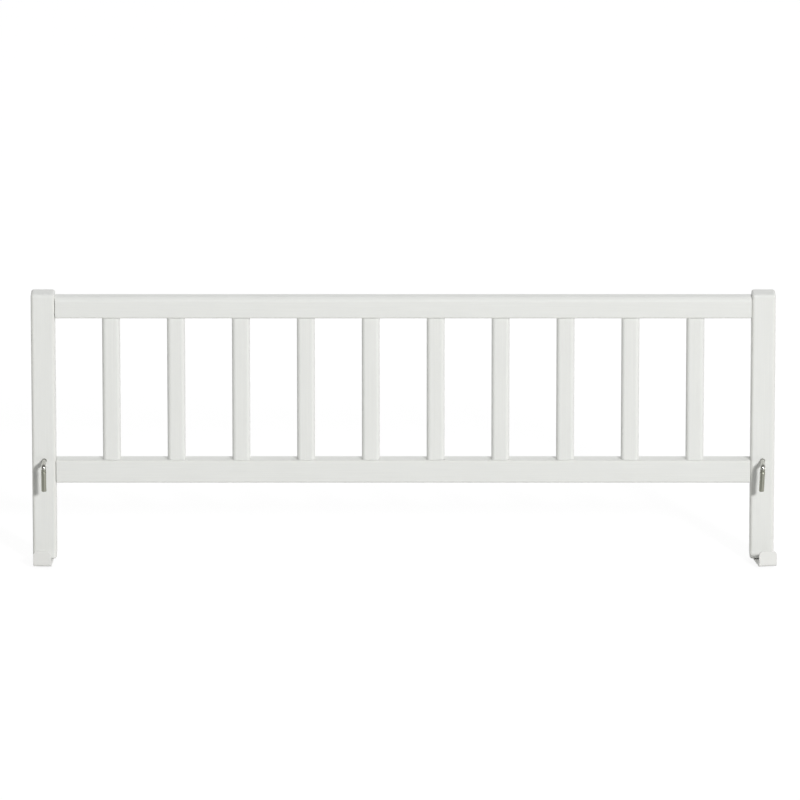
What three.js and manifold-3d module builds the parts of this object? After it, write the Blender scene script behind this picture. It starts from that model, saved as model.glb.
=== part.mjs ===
// Bed guard rail: a slatted wooden guard that stands against the side of a child's bed.
// Two steel hooks reach over the upper edge of the bed's side board, and two foot
// brackets reach under its lower edge.
//
// Millimetres. +X runs along the guard, +Y points away from the bed, +Z is up.
// The origin is the middle of the bottom rail's face that looks at the bed.

import * as THREE from "three";
import { mergeVertices } from "three/addons/utils/BufferGeometryUtils.js";
import Module from "manifold-3d";

const wasm = await Module();
wasm.setup();

// Posts
const overallLength = 900;
const postWidth = 29;
const postDepth = 29;
const postEdgeRadius = 3.5;
const postEndRadius = 3.3;
const postAboveRail = 3.5;
const postBelowRail = 96;

// Rails
const railDepth = 22;
const topRailHeight = 26.4;
const topRailUpperRadius = 6;
const bottomRailHeight = 28.3;
const railEdgeRadius = 2.5;
const railEndEase = 0.8;
const clearHeight = 178.1;

// Slats and their tenons
const slatCount = 10;
const slatWidth = 21.6;
const slatThickness = 15;
const slatEdgeRadius = 4.5;
const tenonWidth = 16;
const tenonThickness = 8;
const tenonLength = 10;

// Glued joints
const glueLine = 0.1;
const mortiseFit = 0.2;
const mortiseSpare = 0.6;
const dowelDiameter = 6;
const dowelSpacing = 11;
const dowelInPost = 12;
const dowelInRail = 18;
const dowelChamfer = 0.8;
const dowelFit = 0.15;
const dowelSpare = 1;

// Hooks: a bent rod screwed into each post, with a plastic sleeve on its leg
const hookRodDiameter = 5.3;
const hookBelowRailTop = 0.5;
const hookReach = 21;
const hookBendRadius = 4;
const hookLegLength = 31.1;
const hookGrip = 23;
const hookFit = 0.3;
const hookHoleSpare = 1.5;
const sleeveBelowBend = 0.6;
const sleeveWall = 0.4;
const sleeveFit = 0.1;
const sleeveEndWall = 1;
const sleeveEndRadius = 0.8;

// Foot brackets: a bent steel strip that turns on one screw under each post
const bracketThickness = 2;
const bracketWidth = 22;
const bracketReach = 26.5;
const bracketBendRadius = 1.5;
const tabHeight = 19.5;
const tabCornerRadius = 5;
const turningGap = 0.3;
const screwDiameter = 4;
const screwHoleFit = 0.35;
const screwHeadDiameter = 8.5;
const screwHeadHeight = 2.6;
const screwHeadRimShare = 0.45;
const screwLength = 30;
const screwPointLength = 5;
const screwPointShare = 0.15;

// Angles, in degrees, at which the photographed hooks and brackets stand
const hookLean = { left: -0.6, right: 2.8 };
const bracketTurn = { left: -3.5, right: 10 };

// Facets, and one overrun for every cutter
const cornerSteps = 4;
const endSteps = 3;
const roundSides = 16;
const rodSides = 12;
const rodSteps = 64;
const filletLimitShare = 0.45;
const cutOverrun = 1;

// Levels and places that follow from the sizes above
const bottomRailTop = bottomRailHeight / 2;
const bottomRailBase = -bottomRailHeight / 2;
const topRailBase = bottomRailTop + clearHeight;
const topRailTop = topRailBase + topRailHeight;
const postTop = topRailTop + postAboveRail;
const postBase = bottomRailBase - postBelowRail;
const postCentreX = (overallLength - postWidth) / 2;
const postCentreY = postDepth / 2;
const railCentreY = railDepth / 2;
const clearSpan = overallLength - 2 * postWidth;
const hookLevel = bottomRailTop - hookBelowRailTop;

// Paints and metals
const white = 0xe6e7e3;
const finishes = {
  lacquer: { color: white, roughness: 0.42, metalness: 0 },
  beech: { color: 0xd8b98c, roughness: 0.7, metalness: 0 },
  zinc: { color: 0xa6a69d, roughness: 0.35, metalness: 0.9 },
  sleeve: { color: 0x8f9184, roughness: 0.3, metalness: 0 },
  powderCoat: { color: 0xe4e4e1, roughness: 0.5, metalness: 0 },
};

// Solids and meshes

// Turns a closed geometry into a solid, with its shared vertices merged.
function toSolid(geometry) {
  const bare = geometry.clone();
  bare.deleteAttribute("normal");
  bare.deleteAttribute("uv");
  const merged = mergeVertices(bare);
  const corners = merged.index.array;
  const triangles = [];
  for (let i = 0; i < corners.length; i += 3) {
    const [a, b, c] = corners.slice(i, i + 3);
    if (a !== b && b !== c && c !== a) {
      triangles.push(a, b, c);
    }
  }
  return new wasm.Manifold(new wasm.Mesh({
    numProp: 3,
    vertProperties: new Float32Array(merged.attributes.position.array),
    triVerts: new Uint32Array(triangles),
  }));
}

// Turns a solid back into a geometry with one normal per facet.
function toGeometry(solid) {
  const mesh = solid.getMesh();
  const indexed = new THREE.BufferGeometry();
  indexed.setAttribute("position", new THREE.BufferAttribute(mesh.vertProperties, 3));
  indexed.setIndex(new THREE.BufferAttribute(mesh.triVerts, 1));
  const geometry = indexed.toNonIndexed();
  geometry.computeVertexNormals();
  return geometry;
}

function namedMesh(name, solid, finish) {
  const mesh = new THREE.Mesh(toGeometry(solid), new THREE.MeshStandardMaterial(finishes[finish]));
  mesh.name = name;
  return mesh;
}

function cut(solid, cutters) {
  return cutters.reduce((rest, cutter) => rest.subtract(cutter), solid);
}

// Outlines and bars

// A radius that never takes more than its share of the wall that it rounds.
function filletOn(wall, radius) {
  return Math.min(radius, wall * filletLimitShare);
}

function arcPoints(centreX, centreY, radius, startAngle, endAngle, steps) {
  const clockwise = endAngle < startAngle;
  return new THREE.EllipseCurve(centreX, centreY, radius, radius, startAngle, endAngle, clockwise)
    .getPoints(steps);
}

// A rectangle about its centre, with one radius for the lower corners and one for the upper.
function roundedRectangle(width, height, lowerRadius, upperRadius, steps) {
  const quarter = Math.PI / 2;
  const corner = (signX, signY, radius, turn) => arcPoints(
    signX * (width / 2 - radius), signY * (height / 2 - radius), radius,
    turn * quarter, (turn + 1) * quarter, steps);
  return new THREE.Shape([
    ...corner(1, 1, upperRadius, 0),
    ...corner(-1, 1, upperRadius, 1),
    ...corner(-1, -1, lowerRadius, 2),
    ...corner(1, -1, lowerRadius, 3),
  ]);
}

// A slot outline: straight sides and half-round ends, as a cutter leaves it.
function slotOutline(width, thickness, steps) {
  const radius = thickness / 2;
  const offset = width / 2 - radius;
  return new THREE.Shape([
    ...arcPoints(offset, 0, radius, -Math.PI / 2, Math.PI / 2, steps),
    ...arcPoints(-offset, 0, radius, Math.PI / 2, Math.PI * 1.5, steps),
  ]);
}

// A straight bar of the given outline from z = 0 to z = length, with eased ends.
function bar(outline, length, ease = 0) {
  const geometry = new THREE.ExtrudeGeometry(outline, {
    depth: length - 2 * ease,
    bevelEnabled: ease > 0,
    bevelThickness: ease,
    bevelSize: ease,
    bevelOffset: -ease,
    bevelSegments: endSteps,
  });
  return geometry.translate(0, 0, ease);
}

// Lays a bar along X: its outline's x becomes Y, its outline's y becomes Z.
const alongX = new THREE.Matrix4().makeBasis(
  new THREE.Vector3(0, 1, 0), new THREE.Vector3(0, 0, 1), new THREE.Vector3(1, 0, 0));

// A round pin or cutter from one point to another.
function roundBar(from, to, radius) {
  const run = new THREE.Vector3().subVectors(to, from);
  const geometry = new THREE.CylinderGeometry(radius, radius, run.length(), roundSides);
  const turn = new THREE.Quaternion().setFromUnitVectors(
    new THREE.Vector3(0, 1, 0), run.clone().normalize());
  const middle = new THREE.Vector3().addVectors(from, to).multiplyScalar(0.5);
  return toSolid(geometry.applyQuaternion(turn).translate(middle.x, middle.y, middle.z));
}

const point = (x, y, z) => new THREE.Vector3(x, y, z);
const radians = THREE.MathUtils.degToRad;

// Dowels: two across each joint between a rail and a post

const railLevels = { top: (topRailBase + topRailTop) / 2, bottom: 0 };
const dowelLevels = (rail) => [-1, 1].map((way) => railLevels[rail] + way * dowelSpacing / 2);
const jointX = (side) => side * clearSpan / 2;

function dowelProfile() {
  const radius = dowelDiameter / 2;
  const length = dowelInPost + dowelInRail;
  return [
    new THREE.Vector2(0, 0),
    new THREE.Vector2(radius - dowelChamfer, 0),
    new THREE.Vector2(radius, dowelChamfer),
    new THREE.Vector2(radius, length - dowelChamfer),
    new THREE.Vector2(radius - dowelChamfer, length),
    new THREE.Vector2(0, length),
  ];
}

function dowelPair(rail, side) {
  const start = jointX(side) - (side > 0 ? dowelInRail : dowelInPost);
  return dowelLevels(rail).map((level, index) => {
    const pin = toSolid(new THREE.LatheGeometry(dowelProfile(), rodSides).rotateZ(-Math.PI / 2));
    const place = `${rail}_${side > 0 ? "right" : "left"}_${index + 1}`;
    const mesh = namedMesh(`dowel_${place}`, pin, "beech");
    mesh.position.set(start, railCentreY, level);
    return mesh;
  });
}

// The holes for one joint's dowels, cut to the given depth past the joint on either side.
function dowelHoles(rail, side, depthInPost, depthInRail) {
  return dowelLevels(rail).map((level) => roundBar(
    point(jointX(side) - side * depthInRail, railCentreY, level),
    point(jointX(side) + side * depthInPost, railCentreY, level),
    dowelDiameter / 2 + dowelFit));
}

// Posts

function post(side) {
  const edge = filletOn(Math.min(postWidth, postDepth), postEdgeRadius);
  const end = Math.min(postEndRadius, edge);
  const outline = roundedRectangle(postWidth, postDepth, edge, edge, cornerSteps);
  const centreX = side * postCentreX;
  const body = toSolid(bar(outline, postTop - postBase, end).translate(centreX, postCentreY, postBase));
  const holes = ["top", "bottom"].flatMap(
    (rail) => dowelHoles(rail, side, dowelInPost + dowelSpare, cutOverrun));
  holes.push(roundBar(
    point(centreX, -cutOverrun, hookLevel),
    point(centreX, hookGrip + hookHoleSpare, hookLevel),
    hookRodDiameter / 2 + hookFit));
  holes.push(roundBar(
    point(centreX, postCentreY, postBase - cutOverrun),
    point(centreX, postCentreY, postBase + screwLength),
    screwDiameter / 2 + hookFit));
  return namedMesh(side > 0 ? "post_right" : "post_left", cut(body, holes), "lacquer");
}

// Rails and slats

const slatGap = (clearSpan - slatCount * slatWidth) / (slatCount + 1);
const slatCentres = Array.from({ length: slatCount }, (_, index) =>
  -clearSpan / 2 + slatGap * (index + 1) + slatWidth * (index + 0.5));

// The mortise sinks from the rail's face at z = face, in the direction way along Z.
function mortise(centreX, face, way) {
  const outline = slotOutline(tenonWidth + 2 * mortiseFit, tenonThickness + 2 * mortiseFit, cornerSteps * 2);
  const depth = tenonLength + mortiseSpare;
  const start = way > 0 ? face - cutOverrun : face - depth;
  return toSolid(bar(outline, depth + cutOverrun).translate(centreX, railCentreY, start));
}

function rail(name, height, upperRadius, way) {
  const lower = filletOn(Math.min(railDepth, height), railEdgeRadius);
  const upper = filletOn(Math.min(railDepth, height), upperRadius);
  const outline = roundedRectangle(railDepth, height, lower, upper, cornerSteps);
  const length = clearSpan - 2 * glueLine;
  const ease = Math.min(railEndEase, lower * 0.9, upper * 0.9);
  const face = way > 0 ? topRailBase : bottomRailTop;
  const body = toSolid(bar(outline, length, ease)
    .applyMatrix4(alongX)
    .translate(-length / 2, railCentreY, railLevels[name]));
  const mortises = slatCentres.map((centreX) => mortise(centreX, face, way));
  const holes = [-1, 1].flatMap(
    (side) => dowelHoles(name, side, cutOverrun, dowelInRail + dowelSpare));
  return namedMesh(`${name}_rail`, cut(body, [...mortises, ...holes]), "lacquer");
}

function slat(index) {
  const edge = filletOn(Math.min(slatWidth, slatThickness), slatEdgeRadius);
  const shoulder = clearHeight - 2 * glueLine;
  const blade = bar(roundedRectangle(slatWidth, slatThickness, edge, edge, cornerSteps), shoulder)
    .translate(0, 0, bottomRailTop + glueLine);
  const tenon = bar(slotOutline(tenonWidth, tenonThickness, cornerSteps * 2), clearHeight + 2 * tenonLength)
    .translate(0, 0, bottomRailTop - tenonLength);
  const name = `slat_${String(index + 1).padStart(2, "0")}`;
  const mesh = namedMesh(name, toSolid(blade).add(toSolid(tenon)), "lacquer");
  mesh.position.set(slatCentres[index], railCentreY, 0);
  return mesh;
}

// Hooks: the shank lies on Y, and the leg hangs down from it in front of the post

// The rod's centreline: the shank, a quarter bend and the leg, all at one pace.
class HookLine extends THREE.Curve {
  constructor() {
    super();
    this.shank = hookGrip + hookReach - hookBendRadius;
    this.bend = hookBendRadius * Math.PI / 2;
    this.leg = hookLegLength - hookBendRadius;
  }

  getPoint(share, target = new THREE.Vector3()) {
    const travelled = share * (this.shank + this.bend + this.leg);
    if (travelled <= this.shank) {
      return target.set(0, hookGrip - travelled, 0);
    }
    if (travelled >= this.shank + this.bend) {
      return target.set(0, -hookReach, -hookBendRadius - (travelled - this.shank - this.bend));
    }
    const angle = (travelled - this.shank) / hookBendRadius;
    return target.set(
      0,
      -hookReach + hookBendRadius * (1 - Math.sin(angle)),
      -hookBendRadius * (1 - Math.cos(angle)));
  }
}

function circleOutline(radius, sides) {
  return new THREE.Shape(arcPoints(0, 0, radius, 0, Math.PI * 2, sides).slice(0, sides));
}

function hookRod() {
  return toSolid(new THREE.ExtrudeGeometry(circleOutline(hookRodDiameter / 2, rodSides), {
    steps: rodSteps,
    extrudePath: new HookLine(),
    bevelEnabled: false,
  }));
}

// The sleeve is closed below the leg's tip and open above, where the leg enters it.
function hookSleeve() {
  const inner = hookRodDiameter / 2 + sleeveFit;
  const outer = inner + sleeveWall;
  const top = -hookBendRadius - sleeveBelowBend;
  const floor = -hookLegLength - sleeveFit;
  const base = floor - sleeveEndWall;
  const round = filletOn(2 * outer, sleeveEndRadius);
  const profile = [
    new THREE.Vector2(0, base),
    ...arcPoints(outer - round, base + round, round, -Math.PI / 2, 0, endSteps),
    new THREE.Vector2(outer, top),
    new THREE.Vector2(inner, top),
    new THREE.Vector2(inner, floor),
    new THREE.Vector2(0, floor),
  ];
  return toSolid(new THREE.LatheGeometry(profile, rodSides)
    .rotateX(Math.PI / 2)
    .translate(0, -hookReach, 0));
}

function hookAssembly(side) {
  const name = side > 0 ? "right" : "left";
  const group = new THREE.Group();
  group.position.set(side * postCentreX, 0, hookLevel);
  group.rotation.y = radians(hookLean[name]);
  group.add(namedMesh(`hook_${name}`, hookRod(), "zinc"));
  group.add(namedMesh(`hook_sleeve_${name}`, hookSleeve(), "sleeve"));
  return group;
}

// Foot brackets: the screw's axis is Z, and the strip's upper face is at z = 0

const tabFaceY = -(postCentreY + bracketReach);
const bracketTail = bracketWidth / 2;

// The strip and its upturned tab, seen from the side.
function bracketSide() {
  const outer = bracketBendRadius + bracketThickness;
  const bendY = tabFaceY + outer;
  const bendZ = bracketBendRadius;
  const tabTop = tabHeight - bracketThickness;
  return new THREE.Shape([
    new THREE.Vector2(bracketTail, -bracketThickness),
    new THREE.Vector2(bracketTail, 0),
    ...arcPoints(bendY, bendZ, bracketBendRadius, -Math.PI / 2, -Math.PI, endSteps * 2),
    new THREE.Vector2(tabFaceY + bracketThickness, tabTop),
    new THREE.Vector2(tabFaceY, tabTop),
    ...arcPoints(bendY, bendZ, outer, Math.PI, Math.PI * 1.5, endSteps * 2),
  ].reverse());
}

// The same piece seen from above: a round tail about the screw, and a straight strip.
function bracketPlan() {
  return new THREE.Shape([
    ...arcPoints(0, 0, bracketTail, 0, Math.PI, roundSides),
    new THREE.Vector2(-bracketWidth / 2, tabFaceY - cutOverrun),
    new THREE.Vector2(bracketWidth / 2, tabFaceY - cutOverrun),
  ]);
}

// The same piece seen from the bed: the tab's upper corners are rounded.
function bracketFront() {
  const round = filletOn(bracketWidth, tabCornerRadius);
  const top = tabHeight - bracketThickness;
  const base = -bracketThickness - cutOverrun;
  return new THREE.Shape([
    new THREE.Vector2(-bracketWidth / 2, base),
    new THREE.Vector2(bracketWidth / 2, base),
    ...arcPoints(bracketWidth / 2 - round, top - round, round, 0, Math.PI / 2, cornerSteps * 2),
    ...arcPoints(-bracketWidth / 2 + round, top - round, round, Math.PI / 2, Math.PI, cornerSteps * 2),
  ]);
}

// Stands an outline drawn in X and Z upright, running away from the bed from y = 0.
const upright = new THREE.Matrix4().makeBasis(
  new THREE.Vector3(1, 0, 0), new THREE.Vector3(0, 0, 1), new THREE.Vector3(0, -1, 0));

function footBracket(side) {
  const name = side > 0 ? "right" : "left";
  const width = bracketWidth + 2 * cutOverrun;
  const length = bracketTail - tabFaceY + 2 * cutOverrun;
  const strip = toSolid(bar(bracketSide(), width).applyMatrix4(alongX).translate(-width / 2, 0, 0));
  const plan = toSolid(bar(bracketPlan(), tabHeight + 2 * cutOverrun)
    .translate(0, 0, -bracketThickness - cutOverrun));
  const front = toSolid(bar(bracketFront(), length)
    .applyMatrix4(upright)
    .translate(0, bracketTail + cutOverrun, 0));
  const hole = roundBar(
    point(0, 0, -bracketThickness - cutOverrun),
    point(0, 0, cutOverrun),
    screwDiameter / 2 + screwHoleFit);
  const body = strip.intersect(plan).intersect(front).subtract(hole);
  const mesh = namedMesh(`foot_bracket_${name}`, body, "powderCoat");
  mesh.position.set(side * postCentreX, postCentreY, postBase - turningGap);
  mesh.rotation.z = radians(bracketTurn[name]);
  return mesh;
}

// Foot screws: a pan head under the strip, and a shank up into the post
function footScrew(side) {
  const headTop = postBase - 2 * turningGap - bracketThickness;
  const headBase = headTop - screwHeadHeight;
  const tip = postBase + screwLength - cutOverrun;
  const headRadius = screwHeadDiameter / 2;
  const rim = headTop - screwHeadHeight * screwHeadRimShare;
  const dome = new THREE.EllipseCurve(
    0, rim, headRadius, rim - headBase, -Math.PI / 2, 0, false).getPoints(endSteps * 2);
  const radius = screwDiameter / 2;
  const profile = [
    ...dome,
    new THREE.Vector2(headRadius, headTop),
    new THREE.Vector2(radius, headTop),
    new THREE.Vector2(radius, tip - screwPointLength),
    new THREE.Vector2(radius * screwPointShare, tip),
    new THREE.Vector2(0, tip),
  ];
  profile[0].x = 0;
  const solid = toSolid(new THREE.LatheGeometry(profile, roundSides).rotateX(Math.PI / 2));
  const mesh = namedMesh(`foot_screw_${side > 0 ? "right" : "left"}`, solid, "zinc");
  mesh.position.set(side * postCentreX, postCentreY, 0);
  return mesh;
}

// The whole guard
const guard = new THREE.Group();
guard.name = "bed_guard_rail";
guard.add(rail("top", topRailHeight, topRailUpperRadius, 1));
guard.add(rail("bottom", bottomRailHeight, railEdgeRadius, -1));
for (let index = 0; index < slatCount; index += 1) {
  guard.add(slat(index));
}
for (const side of [-1, 1]) {
  guard.add(post(side));
  guard.add(...dowelPair("top", side), ...dowelPair("bottom", side));
  guard.add(hookAssembly(side));
  guard.add(footBracket(side));
  guard.add(footScrew(side));
}

export default guard;
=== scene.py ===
# %% [markdown]
# # A slatted bed guard rail
#
# This guard stands against the side of a child's bed. Two posts, two rails and ten slats make a
# white wooden panel. A bent steel hook on each post reaches over the bed's side board, and a bent
# steel bracket under each post reaches below it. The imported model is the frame: it gives every
# piece its place, and the cells below dress it with finely rounded surfaces and real finishes.

# %% Load the frame
import math

import bmesh
import bpy
import numpy as np
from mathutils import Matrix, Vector
from mathutils.kdtree import KDTree


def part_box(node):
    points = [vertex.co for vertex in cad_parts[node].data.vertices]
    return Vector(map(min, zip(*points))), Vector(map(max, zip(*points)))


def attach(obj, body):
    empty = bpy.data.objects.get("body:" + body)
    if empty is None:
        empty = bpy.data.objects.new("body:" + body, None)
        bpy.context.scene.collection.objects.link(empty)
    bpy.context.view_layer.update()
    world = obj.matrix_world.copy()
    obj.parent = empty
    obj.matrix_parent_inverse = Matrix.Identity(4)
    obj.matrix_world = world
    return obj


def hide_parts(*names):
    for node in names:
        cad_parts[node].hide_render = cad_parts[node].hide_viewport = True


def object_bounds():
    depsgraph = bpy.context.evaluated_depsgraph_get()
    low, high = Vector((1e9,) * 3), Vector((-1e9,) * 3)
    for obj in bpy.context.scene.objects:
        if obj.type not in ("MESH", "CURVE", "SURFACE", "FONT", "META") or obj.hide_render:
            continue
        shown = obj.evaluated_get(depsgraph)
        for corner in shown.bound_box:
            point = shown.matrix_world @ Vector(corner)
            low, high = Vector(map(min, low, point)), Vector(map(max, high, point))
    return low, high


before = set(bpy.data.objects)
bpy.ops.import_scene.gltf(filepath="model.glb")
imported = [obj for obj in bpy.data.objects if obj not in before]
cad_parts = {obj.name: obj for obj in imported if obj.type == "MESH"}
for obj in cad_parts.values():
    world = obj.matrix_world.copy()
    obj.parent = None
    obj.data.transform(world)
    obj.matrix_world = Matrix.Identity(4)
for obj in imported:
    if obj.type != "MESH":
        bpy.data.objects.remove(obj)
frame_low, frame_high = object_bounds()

# %% [markdown]
# ## Units and colours
#
# The guard's sizes are in millimetres, as on a workshop drawing, and meshes are written in
# metres, like the camera's and the studio's own sizes.
# A colour is written as its hex code on screen. Light adds up in linear values, so one function
# turns the code into those: each channel's screen value is raised along the sRGB curve.

# %% One millimetre, and one way to write a colour
MM = 0.001


def paint(code):
    """Linear colour of a hex code: c/12.92 in the dark toe, else ((c + 0.055)/1.055) to the 2.4."""
    screen = np.array([int(code[i:i + 2], 16) / 255 for i in (1, 3, 5)])
    toe = screen / 12.92
    curve = ((screen + 0.055) / 1.055) ** 2.4
    return (*np.where(screen <= 0.04045, toe, curve).tolist(), 1.0)


print("white lacquer in linear light", [round(v, 3) for v in paint("#E6E7E3")])

# %% [markdown]
# ## Camera
#
# The photograph looks along the guard's depth from about 15 degrees above, with its uprights
# almost parallel. A camera far away with a long lens gives that. Its lens follows from one
# measure: how many millimetres of the guard one pixel of the 800 pixel picture covers.

# %% Camera
PICTURE = 800
PIXEL = 1.2105
ELEVATION = math.radians(15.5)
DISTANCE = 13.0
AIM = Vector((-0.0039, 0.0, 0.0905))

lens = bpy.data.cameras.new("long_lens")
lens.sensor_width = 36.0
lens.lens = lens.sensor_width * DISTANCE / (PICTURE * PIXEL * MM)
lens.clip_start = 0.1
lens.clip_end = 400.0
camera = bpy.data.objects.new("camera", lens)
camera.location = AIM + DISTANCE * Vector((0, -math.cos(ELEVATION), math.sin(ELEVATION)))
camera.rotation_euler = (math.pi / 2 - ELEVATION, 0, 0)
bpy.context.scene.collection.objects.link(camera)
bpy.context.scene.camera = camera
bpy.context.scene.view_settings.view_transform = "Standard"
print("lens", round(lens.lens, 1), "mm at", DISTANCE, "m")

# %% [markdown]
# ## Helpers for shader nodes
#
# Finishes and the studio are built of shader nodes. One helper adds a node, sets what it is told
# and feeds its inputs, each with a plain value or with another node's output. The others name
# what comes again and again: the camera's own rays, a value carried from one range to another,
# noise with cells of a real size, a stretched place, a blend of two colours, and the start and
# the end of a material.

# %% Node helpers
WHITE = (1, 1, 1, 1)


def add(tree, kind, inputs=None, **settings):
    """Adds a node; inputs maps a socket's name or number to a value or to another socket."""
    made = tree.nodes.new(kind)
    for name, value in settings.items():
        setattr(made, name, value)
    for name, value in (inputs or {}).items():
        if isinstance(value, bpy.types.NodeSocket):
            tree.links.new(value, made.inputs[name])
        else:
            made.inputs[name].default_value = value
    return made


def camera_rays(tree, ray):
    """1 for the camera's rays, straight or through glass, and 0 for all others."""
    seen = {0: ray.outputs["Is Camera Ray"], 1: ray.outputs["Is Transmission Ray"]}
    return add(tree, "ShaderNodeMath", seen, operation="MAXIMUM").outputs[0]


def carried(tree, value, start, end, low, high, **settings):
    """The value carried from the range start to end onto low to high, and held beyond the ends."""
    ranges = {"Value": value, "From Min": start, "From Max": end, "To Min": low, "To Max": high}
    return add(tree, "ShaderNodeMapRange", ranges, **settings).outputs[0]


def noise(tree, place, cell, detail, roughness):
    """Noise from 0 to 1 whose cells measure the given millimetres."""
    pattern = {"Vector": place, "Scale": 1 / (cell * MM), "Detail": detail, "Roughness": roughness}
    return add(tree, "ShaderNodeTexNoise", pattern).outputs["Fac"]


def stretched(tree, place, scale):
    """The place with each axis scaled: a pattern on it is drawn out where the scale is small."""
    return add(tree, "ShaderNodeMapping", {"Vector": place, "Scale": scale}).outputs[0]


def blend(tree, share, one, other):
    """One colour where the share is 0, and the other where it is 1."""
    return add(tree, "ShaderNodeMixRGB", {0: share, 1: one, 2: other}).outputs[0]


def bare_material(name):
    """A new material and its empty node tree."""
    material = bpy.data.materials.new(name)
    material.use_nodes = True
    material.node_tree.nodes.clear()
    return material, material.node_tree


def surface(tree, inputs):
    """Ends a material's tree with a principled surface that takes the given inputs."""
    shader = add(tree, "ShaderNodeBsdfPrincipled", inputs)
    add(tree, "ShaderNodeOutputMaterial", {"Surface": shader.outputs[0]})


# %% [markdown]
# ## Studio
#
# The photograph has one large round lamp high on the right in front of the guard, a bright white
# wall behind it, a white ground, and a dim room on the camera's side. The hooks' shadows give the
# lamp: their length and slant say where it stands, and their soft edge says how wide it is. The
# wall and a lit ceiling light the guard's top and sides, and the ground lights its face from
# below. The world is the wall, the ceiling and the room in one: its strength depends on the
# direction. Metal mirrors a plain white wall and a room a little brighter than the one that
# lights, and only the camera meets plain white on all sides.

# %% Key light and world
KEY_TURN = math.radians(25.8)
KEY_HEIGHT = math.radians(23.4)
KEY_DISTANCE = 13.0
KEY_DIAMETER = 1.9
KEY_LIGHT = 2.18
WALL = 0.7
CEILING = 0.5
ROOM = 0.1
WALL_IN_METAL = 1.0
ROOM_IN_METAL = 0.25
# Cosine of the angle to the wall, and to the ceiling, where their light begins and where it is full
WALL_FADE = (-0.05, 0.35)
CEILING_FADE = (0.6, 0.95)

key = bpy.data.lights.new("soft_key", "AREA")
key.shape = "DISK"
key.size = KEY_DIAMETER
key.energy = KEY_LIGHT * math.pi * KEY_DISTANCE ** 2
key_lamp = bpy.data.objects.new("soft_key", key)
toward_key = Vector((
    math.sin(KEY_TURN) * math.cos(KEY_HEIGHT),
    -math.cos(KEY_TURN) * math.cos(KEY_HEIGHT),
    math.sin(KEY_HEIGHT)))
key_lamp.location = KEY_DISTANCE * toward_key
key_lamp.rotation_euler = toward_key.to_track_quat("Z", "Y").to_euler()
key_lamp.visible_camera = False
bpy.context.scene.collection.objects.link(key_lamp)

world = bpy.data.worlds.new("studio")
bpy.context.scene.world = world
world.use_nodes = True
room = world.node_tree
room.nodes.clear()
ray = add(room, "ShaderNodeLightPath")
glossy = ray.outputs["Is Glossy Ray"]
direction = add(room, "ShaderNodeTexCoord").outputs["Generated"]
toward_wall = add(room, "ShaderNodeVectorMath", {0: direction, 1: (0, 1, 0)}, operation="DOT_PRODUCT")
toward_top = add(room, "ShaderNodeVectorMath", {0: direction, 1: (0, 0, 1)}, operation="DOT_PRODUCT")
dim = carried(room, glossy, 0, 1, ROOM, ROOM_IN_METAL)
bright = carried(room, glossy, 0, 1, WALL, WALL_IN_METAL)
panel = carried(room, glossy, 0, 1, CEILING, 0)
wall = carried(room, toward_wall.outputs["Value"], *WALL_FADE, dim, bright,
               interpolation_type="SMOOTHSTEP")
ceiling = carried(room, toward_top.outputs["Value"], *CEILING_FADE, 0, panel,
                  interpolation_type="SMOOTHSTEP")
strength = add(room, "ShaderNodeMath", {0: wall, 1: ceiling})
around = add(room, "ShaderNodeBackground", {"Color": WHITE, "Strength": strength.outputs[0]})
white = add(room, "ShaderNodeBackground", {"Color": WHITE, "Strength": 1.0})
view = add(room, "ShaderNodeMixShader", {
    0: camera_rays(room, ray), 1: around.outputs[0], 2: white.outputs[0]})
add(room, "ShaderNodeOutputWorld", {"Surface": view.outputs[0]})
print("key light towards", [round(v, 2) for v in toward_key])

# %% [markdown]
# ## Floor
#
# The guard stands on a plain pale floor that runs out of sight. To the light it is ordinary
# matt paint, so it sends light up to the guard. To the camera most of its brightness is its
# own, so it reads as a white ground with a faint shadow. Metal shows the same white ground
# behind the guard and a dimmer one in front, towards the dim room. To metal the ground is
# satin too, so it mirrors the lamp as a broad patch, which the hooks' legs show as an upright
# stripe.

# %% Floor
FLOOR_HALF = 60.0
FLOOR_GLOW = 0.90
FLOOR_IN_FRONT = 0.22
FLOOR_FADE = (-0.35, 0.05)
SATIN_ROUGHNESS = 0.45

floor_level = frame_low.z
floor_mesh = bpy.data.meshes.new("floor")
corners = np.array([(-1, -1), (1, -1), (1, 1), (-1, 1)]) * FLOOR_HALF
floor_mesh.from_pydata([(x, y, floor_level) for x, y in corners], [], [(0, 1, 2, 3)])
floor = bpy.data.objects.new("floor", floor_mesh)
bpy.context.scene.collection.objects.link(floor)
ground, tree = bare_material("pale_studio_floor")
ray = add(tree, "ShaderNodeLightPath")
spot = add(tree, "ShaderNodeSeparateXYZ", {0: add(tree, "ShaderNodeTexCoord").outputs["Object"]})
level = carried(tree, spot.outputs["Y"], *FLOOR_FADE, FLOOR_IN_FRONT, 1)
mirrored = add(tree, "ShaderNodeEmission", {"Color": WHITE, "Strength": level})
satin = add(tree, "ShaderNodeBsdfGlossy", {"Color": paint("#8C8C8C"), "Roughness": SATIN_ROUGHNESS})
in_metal = add(tree, "ShaderNodeAddShader", {0: mirrored.outputs[0], 1: satin.outputs[0]})
matt = add(tree, "ShaderNodeBsdfDiffuse", {"Color": paint("#DDDDDB")})
faint = add(tree, "ShaderNodeBsdfDiffuse", {"Color": paint("#6B6B6B")})
glow = add(tree, "ShaderNodeEmission", {"Color": WHITE, "Strength": FLOOR_GLOW})
pale = add(tree, "ShaderNodeAddShader", {0: faint.outputs[0], 1: glow.outputs[0]})
bounced = add(tree, "ShaderNodeMixShader", {
    0: ray.outputs["Is Glossy Ray"], 1: matt.outputs[0], 2: in_metal.outputs[0]})
whole = add(tree, "ShaderNodeMixShader", {
    0: camera_rays(tree, ray), 1: bounced.outputs[0], 2: pale.outputs[0]})
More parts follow.
